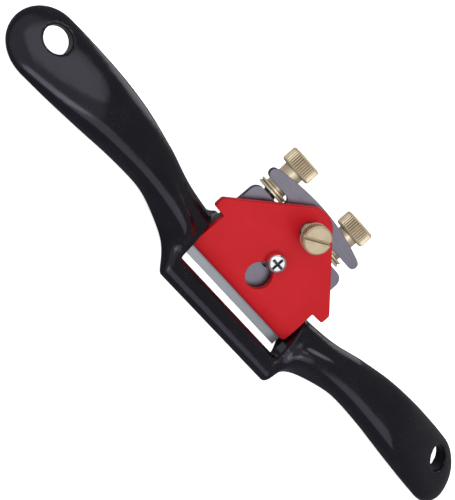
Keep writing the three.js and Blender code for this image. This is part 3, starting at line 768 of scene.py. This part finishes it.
class Shader:
    """A small node graph ending in one Principled surface."""

    def __init__(self, name):
        self.material = bpy.data.materials.new(name)
        self.material.use_nodes = True
        self.tree = self.material.node_tree
        self.surface = self.tree.nodes["Principled BSDF"]
        self.coords = self.node("ShaderNodeTexCoord").outputs["Object"]
        self.normal = None

    def node(self, kind, **settings):
        made = self.tree.nodes.new(kind)
        for key, value in settings.items():
            setattr(made, key, value)
        return made

    def put(self, socket, value):
        if isinstance(value, bpy.types.NodeSocket):
            self.tree.links.new(value, socket)
        else:
            socket.default_value = value

    def noise(self, scale, detail=3.0, stretch=(1, 1, 1)):
        """Noise by feature size in millimetres, stretched along an axis if asked."""
        mapping = self.node("ShaderNodeMapping", vector_type="POINT")
        self.put(mapping.inputs["Vector"], self.coords)
        mapping.inputs["Scale"].default_value = stretch
        texture = self.node("ShaderNodeTexNoise")
        self.put(texture.inputs["Vector"], mapping.outputs["Vector"])
        texture.inputs["Scale"].default_value = 1 / (scale * MM)
        texture.inputs["Detail"].default_value = detail
        return texture.outputs["Fac"]

    def ramp(self, value, low, high, out_low=0.0, out_high=1.0):
        """A smooth step from one value to the other as the input goes from low to high."""
        span = self.node("ShaderNodeMapRange", interpolation_type="SMOOTHSTEP")
        self.put(span.inputs["Value"], value)
        set_range(span, low, high, out_low, out_high)
        return span.outputs["Result"]

    def times(self, a, b):
        product = self.node("ShaderNodeMath", operation="MULTIPLY")
        self.put(product.inputs[0], a)
        self.put(product.inputs[1], b)
        return product.outputs[0]

    def mix(self, share, a, b):
        blend = self.node("ShaderNodeMix", data_type="RGBA")
        for socket, value in zip((0, 6, 7), (share, a, b)):
            self.put(blend.inputs[socket], value)
        return blend.outputs[2]

    def mix_values(self, share, a, b):
        blend = self.node("ShaderNodeMix", data_type="FLOAT")
        for socket, value in zip((0, 2, 3), (share, a, b)):
            self.put(blend.inputs[socket], value)
        return blend.outputs[0]

    def bump(self, height, depth):
        """Adds surface relief of a depth in millimetres."""
        relief = self.node("ShaderNodeBump")
        relief.inputs["Distance"].default_value = depth * MM
        relief.inputs["Strength"].default_value = 1.0
        self.put(relief.inputs["Height"], height)
        if self.normal:
            self.put(relief.inputs["Normal"], self.normal)
        self.normal = relief.outputs["Normal"]

    def edges(self, low, high):
        """0 on flats and 1 on outward edges."""
        return self.ramp(self.node("ShaderNodeNewGeometry").outputs["Pointiness"], low, high)

    def shade_in_grooves(self, low, high):
        """1 in grooves and 0 on flats: where painted shade darkens."""
        return self.ramp(self.node("ShaderNodeNewGeometry").outputs["Pointiness"], low, high, 1, 0)

    def done(self, **inputs):
        for key, value in inputs.items():
            self.put(self.surface.inputs[key.replace("_", " ")], value)
        if self.normal:
            self.put(self.surface.inputs["Normal"], self.normal)
        return self.material


def rgb(r, g, b):
    return (r, g, b, 1)


# Noise hardly leaves this span, so a ramp across it covers its whole range.
SPREAD = (0.3, 0.7)
# The polished band behind the cutting edge, as distances up the blade.
POLISHED_TO, POLISHED_FADE_TO = 2.4, 3.4


def black_enamel():
    """Glossy stoved enamel over sand-cast iron: soft waviness, fine peel, dust and rubbed edges."""
    s = Shader("black_enamel")
    mottle = s.ramp(s.noise(14, 2), *SPREAD)
    dust = s.times(s.ramp(s.noise(0.28, 1), 0.66, 0.74), s.ramp(s.noise(7, 2), 0.5, 0.62))
    rubbed = s.times(s.edges(0.53, 0.6), s.ramp(s.noise(1.6, 4), 0.45, 0.7))
    colour = s.mix(mottle, rgb(0.0038, 0.0036, 0.0052), rgb(0.0052, 0.0049, 0.007))
    colour = s.mix(s.times(dust, 0.5), colour, rgb(0.09, 0.09, 0.1))
    colour = s.mix(s.times(rubbed, 0.5), colour, rgb(0.05, 0.05, 0.055))
    s.bump(s.noise(6, 2), 0.055)
    s.bump(s.noise(1.1, 2), 0.016)
    s.bump(s.noise(0.3, 3), 0.006)
    rough = s.mix_values(dust, s.ramp(s.noise(3), *SPREAD, 0.12, 0.18), 0.5)
    return s.done(Base_Color=colour, Roughness=rough, IOR=1.5, Specular_Tint=rgb(0.84, 0.82, 1))


def red_enamel():
    """Satin red enamel, a little thinner and darker on the eased edges."""
    s = Shader("red_enamel")
    mottle = s.ramp(s.noise(14, 2), *SPREAD)
    thin = s.times(s.edges(0.51, 0.56), 0.8)
    chips = s.times(s.edges(0.54, 0.6), s.ramp(s.noise(0.7, 4), 0.66, 0.72))
    colour = s.mix(mottle, rgb(0.54, 0.011, 0.017), rgb(0.58, 0.013, 0.02))
    colour = s.mix(thin, colour, rgb(0.3, 0.006, 0.01))
    colour = s.mix(chips, colour, rgb(0.06, 0.02, 0.02))
    s.bump(s.noise(3.5, 2), 0.04)
    s.bump(s.noise(0.5, 3), 0.008)
    rough = s.ramp(s.noise(2.5), *SPREAD, 0.3, 0.4)
    return s.done(Base_Color=colour, Roughness=rough, Specular_IOR_Level=0.12)


def steel(name, dark, light, rough, stretch=(0.03, 1, 1), polished=None, bump=0.004,
          rim=rgb(0.5, 0.5, 0.52)):
    """Ground steel with fine scratches along the grinding, a faint stain, and edges in the rim colour.
    """
    s = Shader(name)
    grain = s.noise(0.14, 2, stretch)
    stain = s.ramp(s.noise(7, 4), 0.4, 0.75)
    scratch = s.ramp(s.noise(0.09, 1, (0.02, 1, 1)), 0.7, 0.76)
    colour = s.mix(s.ramp(grain, *SPREAD), dark, light)
    colour = s.mix(s.times(stain, 0.35), colour, tuple(0.7 * c for c in dark[:3]) + (1,))
    # Edges take the rim colour: lighter wear by default, dark painted shade on the blade.
    edge_wear_and_shade = s.times(s.edges(0.52, 0.58), 0.6)
    colour = s.mix(edge_wear_and_shade, colour, rim)
    level = s.mix_values(scratch, s.ramp(grain, 0.25, 0.75, rough - 0.07, rough + 0.08), rough + 0.2)
    if polished:
        # Distance up the blade, measured along the bed from the origin.
        length = s.node("ShaderNodeVectorMath", operation="DOT_PRODUCT")
        s.put(length.inputs[0], s.coords)
        length.inputs[1].default_value = (0, math.sqrt(0.5), math.sqrt(0.5))
        edge = TOE_TO_EDGE * math.sqrt(0.5)
        fade_from, fade_to = (edge + POLISHED_TO) * MM, (edge + POLISHED_FADE_TO) * MM
        near = s.ramp(length.outputs["Value"], fade_from, fade_to, 1, 0)
        colour = s.mix(near, colour, polished)
    s.bump(grain, bump)
    s.bump(s.noise(1.5, 3), 0.006)
    return s.done(Base_Color=colour, Metallic=1.0, Roughness=level, Anisotropic=0.3)


def brass(name="brass", shade_tone=(1, 1, 1)):
    """Pale turned brass, with painted shade dark in the knurl and crests lightened by wear and a
    painted highlight.
    """
    s = Shader(name)

    def toned(*colour):
        return rgb(*(c * k for c, k in zip(colour, shade_tone)))

    turning = s.noise(0.16, 2, (1, 0.2, 0.2))
    tarnish = s.ramp(s.noise(2.2, 4), 0.35, 0.75)
    shade_in_grooves = s.shade_in_grooves(0.44, 0.51)
    worn_and_highlit_crests = s.times(s.edges(0.52, 0.58), 0.6)
    colour = s.mix(s.ramp(turning, *SPREAD), toned(0.74, 0.61, 0.42), toned(0.82, 0.7, 0.51))
    colour = s.mix(s.times(tarnish, 0.25), colour, toned(0.55, 0.44, 0.28))
    # Painted shade: the knurl's grooves darkened to near black.
    colour = s.mix(s.times(shade_in_grooves, 0.75), colour, rgb(0.06, 0.035, 0.014))
    # Crests lightened: rubbed brass, and a painted highlight.
    colour = s.mix(worn_and_highlit_crests, colour, toned(0.95, 0.86, 0.66))
    s.bump(turning, 0.006)
    s.bump(s.noise(0.6, 3), 0.008)
    rough = s.ramp(s.noise(1.2), *SPREAD, 0.3, 0.42)
    return s.done(Base_Color=colour, Metallic=0.5, Roughness=rough)


def zinc_plate():
    """Bright plating, slightly pitted, with painted shade darkening its corners."""
    s = Shader("zinc_plate")
    shade_in_grooves = s.shade_in_grooves(0.4, 0.49)
    colour = s.mix(s.ramp(s.noise(1.2, 3), 0.35, 0.7), rgb(0.86, 0.87, 0.9), rgb(0.72, 0.73, 0.76))
    # Painted shade: grooves and corners darkened.
    colour = s.mix(s.times(shade_in_grooves, 0.7), colour, rgb(0.08, 0.08, 0.09))
    s.bump(s.noise(0.4, 3), 0.01)
    rough = s.ramp(s.noise(0.8), *SPREAD, 0.1, 0.22)
    return s.done(Base_Color=colour, Metallic=1.0, Roughness=rough)


def recess_painted_shade():
    """Painted shade: a dark mottled colour over plating, in the bottom of the recess."""
    s = Shader("recess_painted_shade")
    colour = s.mix(s.ramp(s.noise(0.5, 3), 0.4, 0.65), rgb(0.05, 0.05, 0.055), rgb(0.25, 0.25, 0.27))
    s.bump(s.noise(0.2, 3), 0.02)
    rough = s.ramp(s.noise(0.4), *SPREAD, 0.35, 0.6)
    return s.done(Base_Color=colour, Metallic=0.5, Roughness=rough)


def pale_floor():
    """A near-white sheet that glows to the camera and looks dim in reflections."""
    s = Shader("pale_floor")
    path = s.node("ShaderNodeLightPath")
    colour = s.mix(s.ramp(s.noise(60, 3), *SPREAD), rgb(0.93, 0.93, 0.93), rgb(0.96, 0.96, 0.96))
    colour = s.mix(path.outputs["Is Glossy Ray"], colour, rgb(0.2, 0.2, 0.22))
    s.bump(s.noise(0.8, 2), 0.01)
    glow = s.times(path.outputs["Is Camera Ray"], 0.78)
    return s.done(Base_Color=colour, Roughness=0.9, Specular_IOR_Level=0.1, Emission_Color=colour,
                  Emission_Strength=glow)


# ---------------------------------------------------------------- the object

ENAMEL = black_enamel()
RED = red_enamel()
# The blade's nearly black rim colour is painted shade on its edges.
BLADE_STEEL = steel("blade_steel", rgb(0.21, 0.2, 0.245), rgb(0.285, 0.27, 0.325), 0.36,
                    polished=rgb(0.37, 0.39, 0.42), rim=rgb(0.07, 0.065, 0.08))
STUD_STEEL = steel("stud_steel", rgb(0.28, 0.27, 0.26), rgb(0.4, 0.39, 0.37), 0.32, stretch=(1, 1, 1))
GROUND = steel("ground_iron", rgb(0.34, 0.34, 0.33), rgb(0.46, 0.46, 0.45), 0.34)
MILLED = steel("milled_iron", rgb(0.24, 0.31, 0.3), rgb(0.36, 0.43, 0.42), 0.42, bump=0.01)
BRASS = brass()
# A darker copy of the brass for the thumb screw, as painted shade.
SHADED_BRASS = brass("shaded_brass", (0.72, 0.67, 0.61))
PLATE = zinc_plate()
# Painted shade for the screw's cross recess.
RECESS_SHADE = recess_painted_shade()

# Angles in degrees above which an edge is drawn as a crease.
CREASE, BLADE_CREASE, CASTING_CREASE = 35, 25, 32

casting = body_casting()
colour_casting(casting, ENAMEL, GROUND, MILLED)
place(shade(casting, CASTING_CREASE), "casting_skin", "body", "black_enamel", ENAMEL, "body_casting")
place(shade(moved(blade(), BED), BLADE_CREASE), "blade_plate", "blade", "blade_steel", BLADE_STEEL,
      "blade")
place(shade(moved(lever_cap(), BED), CREASE), "cap_plate", "cap", "red_enamel", RED, "lever_cap")
place(shade(thumb_screw(), CREASE), "thumb_screw_turned", "thumb", "brass", SHADED_BRASS, "thumb_screw")
place(shade(centre_screw(PLATE, RECESS_SHADE), CREASE), "centre_screw_turned", "screw", "zinc_plate", PLATE,
      "centre_screw")
for side, x in (("left", -STUD_X), ("right", STUD_X)):
    place(shade(adjusting_nut(x), CREASE), "nut_turned_" + side, "nut_" + side, "brass", BRASS,
          "adjusting_nut_" + side)
    place(shade(stud(x), CREASE), "stud_threaded_" + side, "body", "stud_steel", STUD_STEEL,
          "stud_" + side)


# ---------------------------------------------------------------- floor, camera and light

VIEW_AZIMUTH = math.radians(32.43)  # from +Y towards +X
VIEW_DOWN = math.radians(42.47)
VIEW_ROLL = math.radians(70.79)
VIEW_FROM = Vector((-0.1696, -0.2338, 0.2764))
VIEW_LENS, VIEW_SENSOR = 95.9, 36
NEAREST = 0.01

FLOOR_REACH, FLOOR_CELLS = 3.0, 24
FLOOR_GAP = 0.00003
FLOOR_RISE, FLOOR_FLAT_TO = 0.02, 1.5

# Name, then places to the right, up and back along the camera's own directions, size and power.
SOFT_BOXES = (
    ("front", (0.32, -0.32, 0.6), (0.55, 0.5), 0.8),
    ("near", (0.14, -0.04, 0.68), (0.34, 0.3), 0.7),
    ("key", (0.44, 0.45, 0.4), (0.34, 0.3), 0.3),
    ("fill", (-0.6, 0.3, 0.3), (0.4, 0.4), 0.3),
    ("rim", (0.5, 0.45, -0.35), (0.3, 0.5), 0.6),
)

# The room as reflections see it: where its bright part lies along the camera's own directions,
# the cosines between which it fades in, and how bright it is outside and inside.
ROOM_TOWARDS = Vector((0.2, 0.35, 0.91))
ROOM_FADE = (0.62, 0.74)
ROOM_LEVELS = (0.24, 0.62)
DAYLIGHT = 0.8
DAYLIGHT_COLOUR = (0.97, 0.98, 1, 1)


def floor_height(x, y):
    return -FLOOR_GAP + FLOOR_RISE * max(0, math.hypot(x, y) - FLOOR_FLAT_TO) ** 2


def make_floor():
    """A wide pale sheet, gently raised far behind the object."""
    count = FLOOR_CELLS
    places = [FLOOR_REACH * (2 * i / count - 1) for i in range(count + 1)]
    verts = [(x, y, floor_height(x, y)) for y in places for x in places]
    faces = []
    for j in range(count):
        for i in range(count):
            a = j * (count + 1) + i
            faces.append((a, a + 1, a + count + 2, a + count + 1))
    made = solid("floor", verts, faces)
    made.data.materials.append(pale_floor())


def make_camera():
    data = bpy.data.cameras.new("camera")
    data.lens = VIEW_LENS
    data.sensor_width = VIEW_SENSOR
    data.clip_start = NEAREST
    camera = bpy.data.objects.new("camera", data)
    across = math.cos(VIEW_DOWN)
    look = Vector((math.sin(VIEW_AZIMUTH) * across, math.cos(VIEW_AZIMUTH) * across,
                   -math.sin(VIEW_DOWN)))
    level = look.to_track_quat("-Z", "Y").to_matrix().to_4x4()
    camera.matrix_world = Matrix.Translation(VIEW_FROM) @ level @ Matrix.Rotation(VIEW_ROLL, 4, "Z")
    bpy.context.scene.collection.objects.link(camera)
    bpy.context.scene.camera = camera
    return camera


def soft_box(name, camera, aim, offset, size, power):
    """A soft light placed from the aim point along the camera's own directions."""
    data = bpy.data.lights.new(name, "AREA")
    data.shape = "RECTANGLE"
    data.size, data.size_y = size
    data.energy = power
    light = bpy.data.objects.new(name, data)
    light.location = aim + camera.matrix_world.to_3x3() @ Vector(offset)
    light.rotation_mode = "QUATERNION"
    light.rotation_quaternion = (aim - light.location).to_track_quat("-Z", "Y")
    bpy.context.scene.collection.objects.link(light)


def make_world(camera):
    """Even pale light on everything; in reflections, a room that is bright only behind the camera."""
    world = bpy.data.worlds.new("studio")
    world.use_nodes = True
    bpy.context.scene.world = world
    tree = world.node_tree
    background = tree.nodes["Background"]
    path = tree.nodes.new("ShaderNodeLightPath")
    coords = tree.nodes.new("ShaderNodeTexCoord")
    behind = tree.nodes.new("ShaderNodeVectorMath")
    behind.operation = "DOT_PRODUCT"
    behind.inputs[1].default_value = camera.matrix_world.to_3x3() @ ROOM_TOWARDS
    tree.links.new(coords.outputs["Generated"], behind.inputs[0])
    room = tree.nodes.new("ShaderNodeMapRange")
    room.interpolation_type = "SMOOTHSTEP"
    set_range(room, *ROOM_FADE, *ROOM_LEVELS)
    tree.links.new(behind.outputs["Value"], room.inputs["Value"])
    level = tree.nodes.new("ShaderNodeMapRange")
    tree.links.new(path.outputs["Is Glossy Ray"], level.inputs["Value"])
    level.inputs["To Min"].default_value = DAYLIGHT
    tree.links.new(room.outputs["Result"], level.inputs["To Max"])
    tree.links.new(level.outputs["Result"], background.inputs["Strength"])
    background.inputs["Color"].default_value = DAYLIGHT_COLOUR


make_floor()
camera = make_camera()
bpy.context.view_layer.update()
middle = (CAD_BOX[0] + CAD_BOX[1]) / 2
for name, offset, size, power in SOFT_BOXES:
    soft_box(name, camera, middle, offset, size, power)
make_world(camera)
bpy.context.scene.view_settings.view_transform = "Standard"
